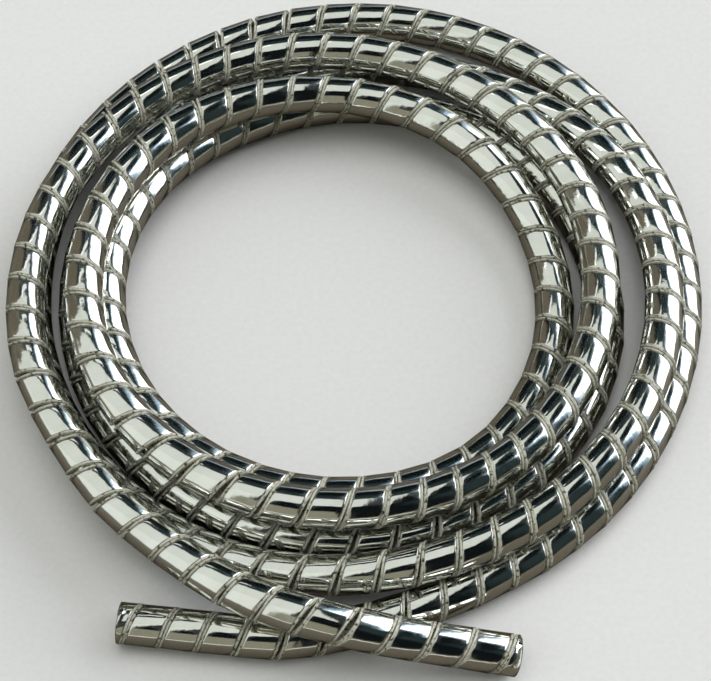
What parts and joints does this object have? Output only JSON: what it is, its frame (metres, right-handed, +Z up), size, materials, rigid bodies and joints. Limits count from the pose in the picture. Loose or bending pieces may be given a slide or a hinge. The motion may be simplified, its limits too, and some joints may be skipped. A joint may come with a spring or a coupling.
{
  "type": "spiral cable wrap",
  "caption": "Loose coil of slit, hollow spiral cable wrap with a mirror finish; it winds round loose cables to bundle and cover them.",
  "frame": {"origin": "middle of the coil's bounding box, on the table that the coil lies on", "axes": "+Z up; +Y from the front, where both bare ends lie, to the back; +X to the right"},
  "size_m": [0.1448, 0.1604, 0.0231],
  "materials": {
    "wrap": "mirror film under clear plastic, with clear rims along a spiral seam",
    "clear_plastic": "glossy clear flexible plastic with a slight olive tint",
    "mirror_film": "bright metallised film"
  },
  "bodies": {
    "root": {"coil": "wrap", "left_tail": "wrap", "right_tail": "wrap", "left_end_base": "clear_plastic", "left_end_film": "mirror_film", "left_end_cover": "clear_plastic", "right_end_base": "clear_plastic", "right_end_film": "mirror_film", "right_end_cover": "clear_plastic"}
  },
  "joints": []
}
